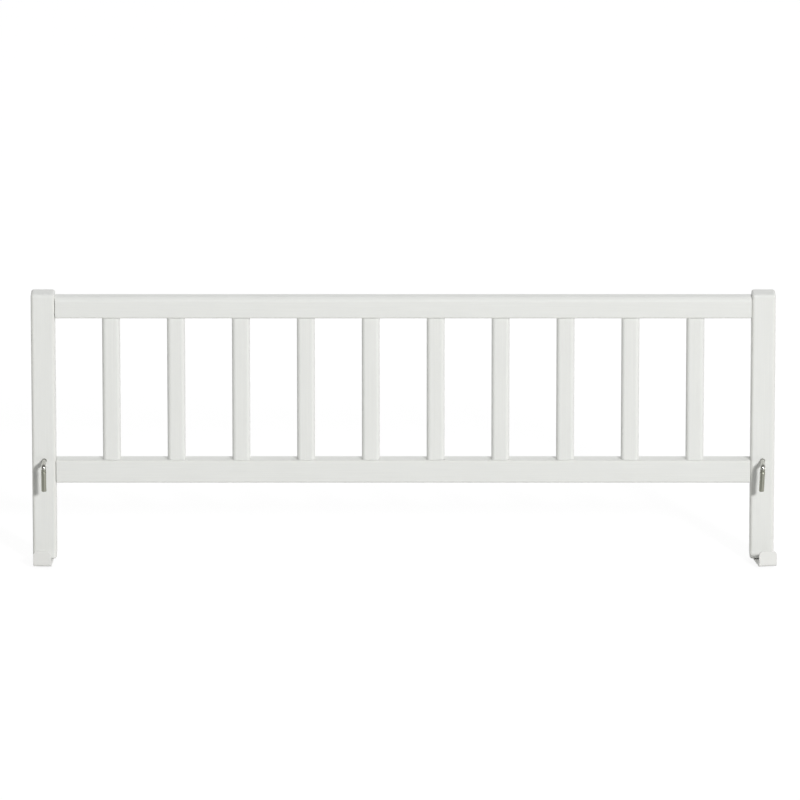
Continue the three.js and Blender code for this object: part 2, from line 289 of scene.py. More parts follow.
add(tree, "ShaderNodeOutputMaterial", {"Surface": whole.outputs[0]})
floor_mesh.materials.append(ground)
print("floor at", round(floor_level / MM, 1), "mm")

# %% [markdown]
# ## White lacquer on planed wood
#
# The panel is planed wood, sanded and sprayed with white satin lacquer in two coats. The lacquer
# has a tiny orange peel of about two millimetres. The grain still shows through as very shallow
# lines along the wood. The coat is thinner and a little warmer on the long edges, and the end
# grain drinks more of it and stays duller. One function makes the finish for upright and for
# level pieces.


# %% Satin lacquer
def satin_lacquer(name, along):
    """Lacquer whose grain lines run along axis 0, 1 or 2: noise drawn out 60 times that way."""
    finish, tree = bare_material(name)
    place = add(tree, "ShaderNodeTexCoord").outputs["Object"]
    scale = [1.0, 1.0, 1.0]
    scale[along] = 1 / 60
    pores = noise(tree, stretched(tree, place, scale), cell=1.3, detail=3.0, roughness=0.6)
    peel = noise(tree, place, cell=2.2, detail=2.0, roughness=0.5)
    cloud = noise(tree, place, cell=55, detail=2.0, roughness=0.5)
    end = add(tree, "ShaderNodeAttribute", attribute_name="end_grain").outputs["Fac"]
    edge = add(tree, "ShaderNodeAttribute", attribute_name="arris").outputs["Fac"]
    ridge = carried(tree, pores, 0.35, 0.65, -0.35, 0.35)
    thin = add(tree, "ShaderNodeMath", {0: cloud, 1: ridge}, use_clamp=True)
    coat = blend(tree, thin.outputs[0], paint("#E9EAE7"), paint("#E5E6E3"))
    worn = add(tree, "ShaderNodeMath", {0: edge, 1: 0.25}, operation="MULTIPLY")
    colour = blend(tree, worn.outputs[0], coat, paint("#E2E1DA"))
    dull = carried(tree, cloud, 0.3, 0.7, 0.46, 0.54)
    rough = add(tree, "ShaderNodeMath", {0: end, 1: 0.12, 2: dull}, operation="MULTIPLY_ADD")
    lines = add(tree, "ShaderNodeBump", {"Height": pores, "Strength": 0.7, "Distance": 0.07 * MM})
    ripple = add(tree, "ShaderNodeBump", {
        "Height": peel, "Normal": lines.outputs[0], "Strength": 0.35, "Distance": 0.06 * MM})
    surface(tree, {
        "Base Color": colour, "Roughness": rough.outputs[0], "Normal": ripple.outputs[0],
        "IOR": 1.48})
    return finish


LACQUER_UPRIGHT = satin_lacquer("satin_white_lacquer_upright", 2)
LACQUER_LEVEL = satin_lacquer("satin_white_lacquer_level", 0)
print("lacquers", LACQUER_UPRIGHT.name, LACQUER_LEVEL.name)

# %% [markdown]
# ## Zinc-plated steel
#
# The hooks are drawn steel rod, bent, threaded and zinc-plated. Drawing leaves fine lines along
# the rod, which zinc softens, and the passivation gives a faint warm and cool cloud. The lines
# follow the rod round its bend, because they read its straightened coordinates.


# %% Zinc plating
def zinc_plate(name, straightened):
    """Plated steel; straightened says that its lines are drawn out 40 times along the rod."""
    finish, tree = bare_material(name)
    if straightened:
        place = add(tree, "ShaderNodeAttribute", attribute_name="straightened").outputs["Vector"]
        scale = (1 / 40, 1.0, 1.0)
    else:
        place = add(tree, "ShaderNodeTexCoord").outputs["Object"]
        scale = (1.0, 1.0, 1.0)
    lines = noise(tree, stretched(tree, place, scale), cell=0.35, detail=3.0, roughness=0.6)
    cloud = noise(tree, place, cell=6, detail=3.0, roughness=0.55)
    tint = blend(tree, cloud, paint("#BFBFB7"), paint("#CBCBC6"))
    rough = carried(tree, lines, 0.3, 0.7, 0.18, 0.30)
    grooves = add(tree, "ShaderNodeBump", {"Height": lines, "Strength": 0.3, "Distance": 0.02 * MM})
    surface(tree, {
        "Base Color": tint, "Metallic": 1.0, "Roughness": rough, "Normal": grooves.outputs[0]})
    return finish


ZINC_ROD = zinc_plate("zinc_plated_drawn_rod", True)
ZINC_SCREW = zinc_plate("zinc_plated_screw", False)
print("zinc", ZINC_ROD.name, ZINC_SCREW.name)

# %% [markdown]
# ## Soft plastic sleeve
#
# An extruded sleeve of soft grey-olive vinyl keeps each hook from marking the bed. It is so thin
# that the steel below gives it a metal's sheen under the glossy skin, and faint lines from the
# die run along it.


# %% Sleeve plastic
def sleeve_vinyl(name):
    """Soft vinyl over steel: glossy, with die lines drawn out 50 times along the sleeve."""
    finish, tree = bare_material(name)
    place = add(tree, "ShaderNodeAttribute", attribute_name="straightened").outputs["Vector"]
    lines = noise(tree, stretched(tree, place, (1 / 50, 1, 1)), cell=0.6, detail=2.0, roughness=0.5)
    tint = blend(tree, lines, paint("#858678"), paint("#97988B"))
    rough = carried(tree, lines, 0.3, 0.7, 0.26, 0.34)
    ripple = add(tree, "ShaderNodeBump", {"Height": lines, "Strength": 0.2, "Distance": 0.03 * MM})
    surface(tree, {
        "Base Color": tint, "Metallic": 0.6, "Roughness": rough, "Normal": ripple.outputs[0],
        "IOR": 1.54, "Coat Weight": 0.6, "Coat Roughness": 0.12, "Coat IOR": 1.54})
    return finish


VINYL = sleeve_vinyl("grey_olive_vinyl")
print("vinyl", VINYL.name)

# %% [markdown]
# ## White powder coat
#
# The foot brackets are steel strip, stamped, bent and powder-coated. Powder melts into a skin
# with a fine, even orange peel, about as matt as the lacquer on the wood.


# %% Powder coat
def powder_coat(name):
    """Powder coat: 0.7 mm cells in its relief and gloss, and 0.3 mm grains in its plain white."""
    finish, tree = bare_material(name)
    place = add(tree, "ShaderNodeTexCoord").outputs["Object"]
    peel = noise(tree, place, cell=0.7, detail=1.0, roughness=0.4)
    grit = noise(tree, place, cell=0.3, detail=2.0, roughness=0.6)
    tint = blend(tree, grit, paint("#E8E8E5"), paint("#E4E4E1"))
    rough = carried(tree, peel, 0.3, 0.7, 0.46, 0.56)
    waves = add(tree, "ShaderNodeBump", {"Height": peel, "Strength": 0.3, "Distance": 0.04 * MM})
    surface(tree, {
        "Base Color": tint, "Roughness": rough, "Normal": waves.outputs[0], "IOR": 1.5})
    return finish


POWDER = powder_coat("white_powder_coat")
print("powder coat", POWDER.name)

# %% [markdown]
# ## Surfaces
#
# Every new piece is a grid of points worked out with numpy: rows run along the piece and columns
# run round it. The mesh joins neighbours with four-sided faces and closes the two ends. Edges
# sharper than about 35 degrees stay crisp, and all others are shaded smooth.


# %% From a grid to a piece
MERGE_WITHIN = 0.002
EMPTY_FACE = 1e-6
CRISP_ANGLE = 35


def skin(grids, ladder):
    """Points and faces of closed grids (rows, columns, 3). Each cell is a quad and each end is one
    face, or with ladder a row of quads that join each column to its mirror column."""
    points, faces, start = [], [], 0
    for grid in grids:
        rows, columns = grid.shape[:2]
        index = np.arange(rows * columns).reshape(rows, columns) + start
        ahead = np.roll(index, -1, axis=1)
        cells = np.stack([index[:-1], ahead[:-1], ahead[1:], index[1:]], axis=-1)
        faces += cells.reshape(-1, 4).tolist()
        if ladder:
            for row in (index[0], index[-1]):
                pairs = np.stack([row, row[::-1]], axis=-1)[:columns // 2]
                faces += np.concatenate([pairs[:-1], pairs[1:, ::-1]], axis=-1).tolist()
        else:
            faces += [index[0][::-1].tolist(), index[-1].tolist()]
        points.append(grid.reshape(-1, 3))
        start += rows * columns
    return np.concatenate(points), faces


def make_piece(name, grids, finish=None, ladder=False):
    """A Blender object from closed grids in millimetres, doubles merged and faces turned outwards."""
    points, faces = skin(grids, ladder)
    mesh = bpy.data.meshes.new(name)
    mesh.from_pydata((points * MM).tolist(), [], faces)
    work = bmesh.new()
    work.from_mesh(mesh)
    bmesh.ops.remove_doubles(work, verts=work.verts, dist=MERGE_WITHIN * MM)
    empty = [face for face in work.faces if face.calc_area() < EMPTY_FACE * MM ** 2]
    bmesh.ops.delete(work, geom=empty, context="FACES_ONLY")
    bmesh.ops.recalc_face_normals(work, faces=work.faces)
    work.to_mesh(mesh)
    work.free()
    piece = bpy.data.objects.new(name, mesh)
    bpy.context.scene.collection.objects.link(piece)
    if finish:
        mesh.materials.append(finish)
    return piece


def shade(piece):
    """Smooth shading, with every edge sharper than CRISP_ANGLE kept crisp."""
    mesh = piece.data
    mesh.polygons.foreach_set("use_smooth", np.ones(len(mesh.polygons), bool))
    mesh.set_sharp_from_angle(angle=math.radians(CRISP_ANGLE))
    mesh.update()


def carve(piece, grids):
    """Takes the closed volumes of the grids out of the piece, as a drill or a cutter does."""
    cutter = make_piece(piece.name + "_cutter", grids)
    cut = piece.modifiers.new("cut", "BOOLEAN")
    cut.operation = "DIFFERENCE"
    cut.solver = "EXACT"
    cut.object = cutter
    settled = piece.evaluated_get(bpy.context.evaluated_depsgraph_get())
    carved = bpy.data.meshes.new_from_object(settled)
    piece.modifiers.clear()
    blank, piece.data = piece.data, carved
    carved.name = piece.name
    bpy.data.meshes.remove(blank)
    bpy.data.objects.remove(cutter)


def mesh_points(piece):
    """The piece's points in millimetres, one row each."""
    points = np.empty(len(piece.data.vertices) * 3)
    piece.data.vertices.foreach_get("co", points)
    return points.reshape(-1, 3) / MM


def deliver(piece, node, body):
    """The piece rides on a body and stands for a node. Prints how it fits."""
    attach(piece, body)
    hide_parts(node)
    points = mesh_points(piece)
    low, high = (np.array(corner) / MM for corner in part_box(node))
    reach = np.concatenate([points.min(0) - low, points.max(0) - high])
    faces = len(piece.data.polygons)
    print(f"{piece.name}: {faces} faces, off its node by", np.round(reach, 2).tolist())


# %% [markdown]
# ## Sections and bars
#
# All wooden pieces are bars with rounded long edges. Their section is a rounded rectangle: each
# corner is a quarter circle. A plane leaves true flats, so one extra point lies close beside each
# arc, and the shading of the round never spreads over the flat. The ends are eased the same way:
# the section shrinks along a quarter circle as it comes to the end.

# %% Rounded section and eased bar
BESIDE = 0.35
ARC_STEPS = 8
EASE_STEPS = 6
PIN_SIDES = 32
CORNERS = ((1, 1), (-1, 1), (-1, -1), (1, -1))
ARRIS_GAIN = 4.0
END_GRAIN_DEPTH = 1.0
CAP_DEPTH = 0.01


def rounded_section(width, height, lower, upper, beside=BESIDE):
    """Outline of a rounded rectangle: anchor + radius * normal, anticlockwise from the right.
    The anchors are the corners' centres, moved a little along the flat for the points beside."""
    anchors, radii, normals = [], [], []
    for turn, (side, level) in enumerate(CORNERS):
        radius = upper if level > 0 else lower
        angle = (np.linspace(0, 1, ARC_STEPS + 1) + turn) * np.pi / 2
        angle = np.concatenate([angle[:1], angle, angle[-1:]])
        normal = np.stack([np.cos(angle), np.sin(angle)], axis=1)
        slide = np.zeros((len(angle), 1))
        slide[0], slide[-1] = -beside, beside
        tangent = np.stack([-normal[:, 1], normal[:, 0]], axis=1)
        centre = np.array([side * (width / 2 - radius), level * (height / 2 - radius)])
        anchors.append(centre + slide * tangent)
        radii.append(np.full((len(angle), 1), radius))
        normals.append(normal)
    return np.concatenate(anchors), np.concatenate(radii), np.concatenate(normals)


def loft(section, heights, insets):
    """Rows of one section at the given heights, each drawn in by its inset along the normals."""
    anchors, radii, normals = section
    flat = anchors[None] + (radii[None] - np.asarray(insets)[:, None, None]) * normals[None]
    rise = np.broadcast_to(np.asarray(heights, float)[:, None, None], (*flat.shape[:2], 1))
    return np.concatenate([flat, rise], axis=2)


def eased(length, ease, beside=BESIDE):
    """Heights and insets of a bar with quarter-round ends: inset e(1 - sin a), height e(1 - cos a)."""
    angle = np.linspace(0, np.pi / 2, EASE_STEPS + 1)
    height = np.concatenate([[0], ease * (1 - np.cos(angle)), [ease + beside]])
    inset = np.concatenate([[ease + beside], ease * (1 - np.sin(angle)), [0]])
    return np.concatenate([height, length - height[::-1]]), np.concatenate([inset, inset[::-1]])


def pin(start, end, stations, radii):
    """A round pin or drill from start to end: a circle of each radius at each distance along it."""
    start, end = np.array(start, float), np.array(end, float)
    ahead = (end - start) / np.linalg.norm(end - start)
    upright = abs(ahead[2]) > 0.9
    across = np.cross(ahead, [1.0, 0.0, 0.0] if upright else [0.0, 0.0, 1.0])
    across /= np.linalg.norm(across)
    beyond = np.cross(ahead, across)
    angle = np.linspace(0, 2 * np.pi, PIN_SIDES, endpoint=False)
    ring = np.cos(angle)[:, None] * across + np.sin(angle)[:, None] * beyond
    along = start + np.asarray(stations, float)[:, None] * ahead
    return along[:, None] + np.asarray(radii, float)[:, None, None] * ring[None]


def mark_wood(piece, centre, half, radius, along):
    """Two marks for the lacquer: arris, 1 on the rounded long edges, and end_grain, 1 at the ends.
    The first is ARRIS_GAIN times how far a point lies into the rounds of both its sides, and 0 on
    the end faces. The second rises from 0 to 1 over the last END_GRAIN_DEPTH of the bar."""
    offset = np.abs(mesh_points(piece) - centre)
    sides = [axis for axis in range(3) if axis != along]
    into = [np.clip((offset[:, a] - half[a] + radius) / radius, 0, 1) for a in sides]
    cap = offset[:, along] > half[along] - CAP_DEPTH
    arris = np.where(cap, 0, np.clip(ARRIS_GAIN * into[0] * into[1], 0, 1))
    end = np.clip((offset[:, along] - half[along]) / END_GRAIN_DEPTH + 1, 0, 1)
    for name, values in (("arris", arris), ("end_grain", end)):
        mark = piece.data.attributes.new(name, "FLOAT", "POINT")
        mark.data.foreach_set("value", values.astype(np.float32))


print("corner arcs in", ARC_STEPS, "steps, with a point", BESIDE, "mm beside each end")

# %% [markdown]
# ## Posts
#
# Each post is one square bar of planed wood, rounded along its edges and at both ends. Before
# lacquering it was bored for two pairs of dowels, for the hook's thread and for the foot screw.
# The bores are real here too: the hook's hole shows as a fine dark ring round the shank.

# %% Posts
SIDES = {"left": -1, "right": 1}
CLEAR = 1.0
POST_EDGE = 3.5
POST_END = 3.3
DOWEL_BORE = 3.15
DOWEL_SPACING = 11.0
DOWEL_IN_POST = 13.0
HOOK_BELOW_RAIL_TOP = 0.5
HOOK_BORE = 2.95
HOOK_BORE_EASE = 0.4
HOOK_BORE_DEPTH = 24.5
SCREW_BORE = 2.3
SCREW_BORE_DEPTH = 30.0


def node_box(node):
    """Centre and half size of a node's box, in millimetres."""
    low, high = (np.array(corner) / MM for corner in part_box(node))
    return (low + high) / 2, (high - low) / 2


RAIL_LEVEL = {name: node_box(name + "_rail")[0][2] for name in ("top", "bottom")}
RAIL_DEPTH_MIDDLE = node_box("top_rail")[0][1]
HOOK_LEVEL = RAIL_LEVEL["bottom"] + node_box("bottom_rail")[1][2] - HOOK_BELOW_RAIL_TOP


def dowel_bores(face, way, depth, level):
    """Two drills along X, one over the other, that go the given way into the face at x = face."""
    bores = []
    for height in (level - DOWEL_SPACING / 2, level + DOWEL_SPACING / 2):
        start = (face - way * CLEAR, RAIL_DEPTH_MIDDLE, height)
        end = (face + way * depth, RAIL_DEPTH_MIDDLE, height)
        bores.append(pin(start, end, [0, depth + CLEAR], [DOWEL_BORE, DOWEL_BORE]))
    return bores


def make_post(name, side):
    """One eased bar with bores for dowels, in front for the hook and below for the screw."""
    node = "post_" + name
    centre, half = node_box(node)
    base = centre[2] - half[2]
    outline = rounded_section(2 * half[0], 2 * half[1], POST_EDGE, POST_EDGE)
    rows = eased(2 * half[2], POST_END, beside=POST_EDGE - POST_END)
    piece = make_piece(node + "_turned_edges", [loft(outline, *rows) + [centre[0], centre[1], base]])
    inner = centre[0] - side * half[0]
    bores = []
    for level in RAIL_LEVEL.values():
        bores += dowel_bores(inner, side, DOWEL_IN_POST, level)
    mouth = HOOK_BORE + HOOK_BORE_EASE
    bores.append(pin(
        (centre[0], -CLEAR, HOOK_LEVEL), (centre[0], HOOK_BORE_DEPTH, HOOK_LEVEL),
        [0, CLEAR, CLEAR + HOOK_BORE_EASE, CLEAR + HOOK_BORE_DEPTH],
        [mouth, mouth, HOOK_BORE, HOOK_BORE]))
    bores.append(pin(
        (centre[0], centre[1], base - CLEAR), (centre[0], centre[1], base + SCREW_BORE_DEPTH),
        [0, CLEAR + SCREW_BORE_DEPTH], [SCREW_BORE, SCREW_BORE]))
    carve(piece, bores)
    mark_wood(piece, centre, half, POST_EDGE, 2)
    shade(piece)
    piece.data.materials.append(LACQUER_UPRIGHT)
    deliver(piece, node, "frame")


for name, side in SIDES.items():
    make_post(name, side)

# %% [markdown]
# ## Rails
#
# The top rail is where hands rest, so its upper edges are well rounded. The bottom rail only has
# its edges broken. Both carry a row of round-ended mortises for the slats' tenons, and two bores
# in each end for the dowels. The ends are eased, which leaves a fine groove at each post.

# %% Rails
TOP_ROUND = 6.0
RAIL_EDGE = 2.5
RAIL_EASE = 0.8
TENON_WIDTH = 16.0
TENON_THICKNESS = 8.0
TENON_LENGTH = 10.0
MORTISE_FIT = 0.2
MORTISE_SPARE = 0.6
DOWEL_IN_RAIL = 19.0
SLATS = sorted(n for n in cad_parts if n.startswith("slat_"))


def make_rail(name, upper, way):
    """A rail; upper is its upper edges' radius, and way 1 puts the mortises on top, -1 below."""
    node = name + "_rail"
    centre, half = node_box(node)
    outline = rounded_section(2 * half[1], 2 * half[2], RAIL_EDGE, upper)
    bar = loft(outline, *eased(2 * half[0], RAIL_EASE)) - [0, 0, half[0]]
    piece = make_piece(node + "_planed", [bar[:, :, [2, 0, 1]] + centre])
    round_end = TENON_THICKNESS / 2 + MORTISE_FIT
    wide = TENON_WIDTH + 2 * MORTISE_FIT
    mortise = rounded_section(wide, 2 * round_end, round_end, round_end, beside=0)
    face = centre[2] + way * half[2]
    heights = sorted([face + way * CLEAR, face - way * (TENON_LENGTH + MORTISE_SPARE)])
    cuts = [loft(mortise, heights, [0, 0]) + [node_box(slat)[0][0], centre[1], 0] for slat in SLATS]
    for side in SIDES.values():
        cuts += dowel_bores(centre[0] + side * half[0], -side, DOWEL_IN_RAIL, centre[2])
    carve(piece, cuts)
    mark_wood(piece, centre, half, RAIL_EDGE, 0)
    shade(piece)
    piece.data.materials.append(LACQUER_LEVEL)
    deliver(piece, node, "frame")


make_rail("top", TOP_ROUND, -1)
make_rail("bottom", RAIL_EDGE, 1)

# %% [markdown]
# ## Slats
#
# A slat is a small bar with a stub tenon at each end. The cutter that makes the tenon leaves
# half-round sides and a square shoulder, and the shoulder closes on the rail. The whole slat is
# one surface: tenon, shoulder, blade, shoulder, tenon.

# %% Slats
SLAT_EDGE = 4.5
SLAT_WIDTH = 21.6
SLAT_THICKNESS = 15.0
SHOULDER_GAP = 0.1
TENON_CHAMFER = 0.6


def make_slat(node):
    """Rows of the tenon's section, then of the blade's, then of the tenon's again, as one surface."""
    centre, half = node_box(node)
    blade = rounded_section(SLAT_WIDTH, SLAT_THICKNESS, SLAT_EDGE, SLAT_EDGE)
    round_end = TENON_THICKNESS / 2
    tenon = rounded_section(TENON_WIDTH, TENON_THICKNESS, round_end, round_end, beside=0)
    foot, head = centre[2] - half[2], centre[2] + half[2]
    low = foot + TENON_LENGTH + SHOULDER_GAP
    high = head - TENON_LENGTH - SHOULDER_GAP
    rows = np.concatenate([
        loft(tenon, [foot, foot + TENON_CHAMFER, low], [TENON_CHAMFER, 0, 0]),
        loft(blade, [low, high], [0, 0]),
        loft(tenon, [high, head - TENON_CHAMFER, head], [0, 0, TENON_CHAMFER])])
    piece = make_piece(node + "_planed", [rows + [centre[0], centre[1], 0]])
    blade_centre = np.array([centre[0], centre[1], (low + high) / 2])
    blade_half = np.array([SLAT_WIDTH / 2, SLAT_THICKNESS / 2, (high - low) / 2])
    mark_wood(piece, blade_centre, blade_half, SLAT_EDGE, 2)
    shade(piece)
    piece.data.materials.append(LACQUER_UPRIGHT)
    deliver(piece, node, "frame")


for node in SLATS:
    make_slat(node)

# %% [markdown]
# ## Hooks
#
# Each hook is one drawn rod: a pointed wood thread that bites into the post, a plain shank, one
# bend and a leg that hangs in front of the post. The rod is a circle carried along that line.
# The thread is the same circle with its radius raised along a helix. In the bend the rod is a
# little flattened, as a bending tool leaves it.

# %% Hooks
ROD = 2.65
HOOK_REACH = 21.0
HOOK_BEND = 4.0
LEG_LENGTH = 31.1
GRIP = 23.0
THREAD_CORE = 1.95
THREAD_PITCH = 2.2
THREAD_LENGTH = 19.0
FLANK_SLOPE = 4.0
CREST_FILL = 1.6
POINT_LENGTH = 5.0
POINT_BLUNT = 0.02
TIP_LENGTH = 1.2
TIP_FALL = 0.9
PRESSED = 0.1
PRESSED_BEYOND = 0.6
LEAN = {"left": -0.6, "right": 2.8}
ROD_SIDES = 40
ROD_ROWS = {"thread": 110, "shank": 8, "bend": 22, "leg": 6, "tip": 8}


def turned(points, axis, degrees, origin):
    """Points turned about main axis 0, 1 or 2 by the right-hand rule, then moved to the origin."""
    angle = math.radians(degrees)
    c, s = math.cos(angle), math.sin(angle)
    a, b = (axis + 1) % 3, (axis + 2) % 3
    moved = points.copy()
    moved[..., a] = c * points[..., a] - s * points[..., b]
    moved[..., b] = s * points[..., a] + c * points[..., b]
    return moved + np.asarray(origin)


def helix(along, angle, pitch, core, crest):
    """Radius of a thread: core + (crest - core) * (1.6 - 4 |phase - 1/2|), held between core and
    crest. The phase is along/pitch - angle/2pi without its whole part, so it climbs one pitch a turn."""
    phase = (along / pitch - angle / (2 * np.pi)) % 1.0
    ridge = np.clip(CREST_FILL - FLANK_SLOPE * np.abs(phase - 0.5), 0, 1)
    return core + (crest - core) * ridge


def hook_grid():
    """Rows along the rod from its point to the leg's tip, and where each point lies on the straight
    rod. The rod's line runs along -y, turns down by a quarter circle and goes on along -z."""
    shank = GRIP + HOOK_REACH - HOOK_BEND
    bend = HOOK_BEND * np.pi / 2
    tip = shank + bend + LEG_LENGTH - HOOK_BEND - TIP_LENGTH
    travel = np.concatenate([
        np.linspace(0, THREAD_LENGTH, ROD_ROWS["thread"], endpoint=False),
        np.linspace(THREAD_LENGTH, shank, ROD_ROWS["shank"], endpoint=False),
        np.linspace(shank, shank + bend, ROD_ROWS["bend"], endpoint=False),
        np.linspace(shank + bend, tip, ROD_ROWS["leg"], endpoint=False),
        tip + TIP_LENGTH * np.sin(np.linspace(0, np.pi / 2, ROD_ROWS["tip"]))])
    turn = np.clip((travel - shank) / bend, 0, 1) * np.pi / 2
    straight = np.minimum(travel, shank)
    drop = np.maximum(travel - shank - bend, 0)
    centre = np.stack([
        np.zeros_like(travel),
        GRIP - straight - HOOK_BEND * np.sin(turn),
        -HOOK_BEND * (1 - np.cos(turn)) - drop], axis=1)
    outward = np.stack([np.zeros_like(turn), -np.sin(turn), np.cos(turn)], axis=1)
    angle = np.linspace(0, 2 * np.pi, ROD_SIDES, endpoint=False)
    around, run = np.meshgrid(angle, travel)
    threaded = helix(run, around, THREAD_PITCH, THREAD_CORE, ROD)
    fade = np.clip((THREAD_LENGTH - run) / THREAD_PITCH, 0, 1)
    radius = ROD + (threaded - ROD) * fade
    radius *= np.clip(run / POINT_LENGTH, POINT_BLUNT, 1)
    past = np.clip((run - tip) / TIP_LENGTH, 0, 1)
    radius *= np.sqrt(1 - TIP_FALL * past ** 2)
    share = np.clip((travel - shank) / (bend + PRESSED_BEYOND), 0, 1)
    pressed = PRESSED * np.sin(np.pi * share)[:, None]
    wide = radius * (1 + pressed)
    deep = radius * (1 - pressed)
    grid = (centre[:, None]
            + (wide * np.cos(around))[..., None] * np.array([1.0, 0, 0])
            + (deep * np.sin(around))[..., None] * outward[:, None])
    own = np.stack([run, radius * np.cos(around), radius * np.sin(around)], axis=-1)
    return grid, own


def straighten(piece, grid, own):
    """Stores for each mesh point where it lay before bending: its nearest grid point's own place."""
    flat = grid.reshape(-1, 3)
    lookup = KDTree(len(flat))
    for number, point in enumerate(flat):
        lookup.insert(point, number)
    lookup.balance()
    nearest = [lookup.find(v.co / MM)[1] for v in piece.data.vertices]
    mark = piece.data.attributes.new("straightened", "FLOAT_VECTOR", "POINT")
    mark.data.foreach_set("vector", (own.reshape(-1, 3)[nearest] * MM).astype(np.float32).ravel())


def make_on_hook(node, label, name, grid, own, finish, slot):
    """A round piece of one side's hook: worked out plumb, then leant and set at its post's middle."""
    post, _ = node_box("post_" + name)
    placed = turned(grid, 1, LEAN[name], (post[0], 0, HOOK_LEVEL))
    piece = make_piece(node + label, [placed], finish)
    straighten(piece, placed, own)
    shade(piece)
    deliver(piece, node, "hook_" + name)


for name in SIDES:
    make_on_hook("hook_" + name, "_bent_rod", name, *hook_grid(), ZINC_ROD, "zinc_plated_steel")

# %% [markdown]
# ## Sleeves
#
# The sleeve is a thin closed tube pushed up the leg as far as the bend. Its wall is one profile
# turned about the leg: up the outside, over a low bead and a collar, and down the inside. The
# bead is where the tube's end was pressed on. Its upper side leans back by about twenty degrees,
# half way between the camera and the lamp, so it catches the lamp as a bright ring.

# %% Sleeves
SLEEVE_INNER = 2.75
SLEEVE_OUTER = 3.15
SLEEVE_TOP = 4.6
SLEEVE_FLOOR = 31.2
SLEEVE_BASE = 32.2
SLEEVE_ROUND = 0.8
COLLAR = 3.0
BEAD_TOP = 7.75
BEAD_STAND = 0.14
BEAD_RISE = 0.9
TAPER_HEIGHT = 0.85
LIP = 0.25
PROFILE_STEPS = 7
LIP_STEPS = 9


def sleeve_profile():
    """Radius and depth of the wall: a rounded base, the outside, a bead, a collar, a lip, the bore."""
    quarter = np.linspace(-np.pi / 2, 0, PROFILE_STEPS)
    base_r = SLEEVE_OUTER - SLEEVE_ROUND + SLEEVE_ROUND * np.cos(quarter)
    base_z = -SLEEVE_BASE + SLEEVE_ROUND + SLEEVE_ROUND * np.sin(quarter)
    rise = np.linspace(0, 1, PROFILE_STEPS)
    bead_r = SLEEVE_OUTER + BEAD_STAND * (1 - np.cos(np.pi * rise)) / 2
    bead_z = -BEAD_TOP - TAPER_HEIGHT - BEAD_RISE * (1 - rise)
    taper_r = bead_r[-1] + (COLLAR - bead_r[-1]) * rise
    taper_z = -BEAD_TOP - TAPER_HEIGHT * (1 - rise)
    half = np.linspace(0, np.pi, LIP_STEPS)
    lip = (COLLAR - SLEEVE_INNER) / 2
    lip_r = SLEEVE_INNER + lip + lip * np.cos(half)
    lip_z = -SLEEVE_TOP - LIP + LIP * np.sin(half)
    radius = np.concatenate([[0], base_r, bead_r, taper_r, lip_r, [SLEEVE_INNER, 0]])
    depth = np.concatenate([
        [-SLEEVE_BASE], base_z, bead_z, taper_z, lip_z, [-SLEEVE_FLOOR, -SLEEVE_FLOOR]])
    return radius, depth


def sleeve_grid():
    """The profile turned about the leg, and where each point lies along and across the sleeve."""
    radius, depth = sleeve_profile()
    angle = np.linspace(0, 2 * np.pi, ROD_SIDES, endpoint=False)
    around, r = np.meshgrid(angle, radius)
    height = np.broadcast_to(depth[:, None], r.shape)
    grid = np.stack([r * np.cos(around), -HOOK_REACH + r * np.sin(around), height], axis=-1)
    own = np.stack([height, r * np.cos(around), r * np.sin(around)], axis=-1)
    return grid, own


for name in SIDES:
    make_on_hook("hook_sleeve_" + name, "_tube", name, *sleeve_grid(), VINYL, "smoke_plastic_sleeve")

# %% [markdown]
# ## Foot brackets
#
# A bracket is a stamped strip: a round tail with a screw hole, straight sides and a tab with
# rounded corners, bent up at its end. The piece is worked out flat first, as the press tool
# sees it. Its outline is a curve with a normal at each point, and each layer through the
# thickness is that outline drawn in, which rounds the edges. Then the flat piece is rolled
# round the bend.

# %% Foot brackets
STRIP_THICK = 2.0
STRIP_HALF = 11.0
STRIP_EDGE = 0.55
BEND_START = 37.5
BEND_MIDDLE = 2.5
TAB_END = 57.43
TAB_CORNER = 5.0
HOLE = 2.35
HOLE_EASE = 0.3
BRACKET_TURN = {"left": -3.5, "right": 10.0}
TURNING_GAP = 0.3
TAIL_STEPS = 19
BEND_STEPS = 13
TAB_STEPS = 11
EDGE_STEPS = 5


def strip_outline():
    """Right half of the outline from the tail's tip to the tab's end: distance, half width, normal."""
    tail = np.linspace(0, np.pi / 2, TAIL_STEPS)
    bend_end = BEND_START + BEND_MIDDLE * np.pi / 2
    along = np.concatenate([
        [BESIDE, BEND_START / 2, BEND_START - BESIDE],
        np.linspace(BEND_START, bend_end, BEND_STEPS),
        [bend_end + BESIDE, TAB_END - TAB_CORNER - BESIDE]])
    corner = np.linspace(0, np.pi / 2, TAB_STEPS)
    s = np.concatenate([
        -STRIP_HALF * np.cos(tail), along, TAB_END - TAB_CORNER + TAB_CORNER * np.sin(corner)])
    u = np.concatenate([
        STRIP_HALF * np.sin(tail), np.full(len(along), STRIP_HALF),
        STRIP_HALF - TAB_CORNER + TAB_CORNER * np.cos(corner)])
    normal_s = np.concatenate([-np.cos(tail), np.zeros(len(along)), np.sin(corner)])
    normal_u = np.concatenate([np.sin(tail), np.ones(len(along)), np.cos(corner)])
    return s, u, normal_s, normal_u


def strip_layers():
    """Depth and inset of each layer from the upper face to the lower: quarter rounds at both edges."""
    angle = np.linspace(0, np.pi / 2, EDGE_STEPS)
    inset = np.concatenate([[STRIP_EDGE + BESIDE], STRIP_EDGE * (1 - np.sin(angle))])
    depth = np.concatenate([[0], STRIP_EDGE * (1 - np.cos(angle))])
    half = STRIP_THICK / 2
    return np.concatenate([half - depth, -half + depth[::-1]]), np.concatenate([inset, inset[::-1]])


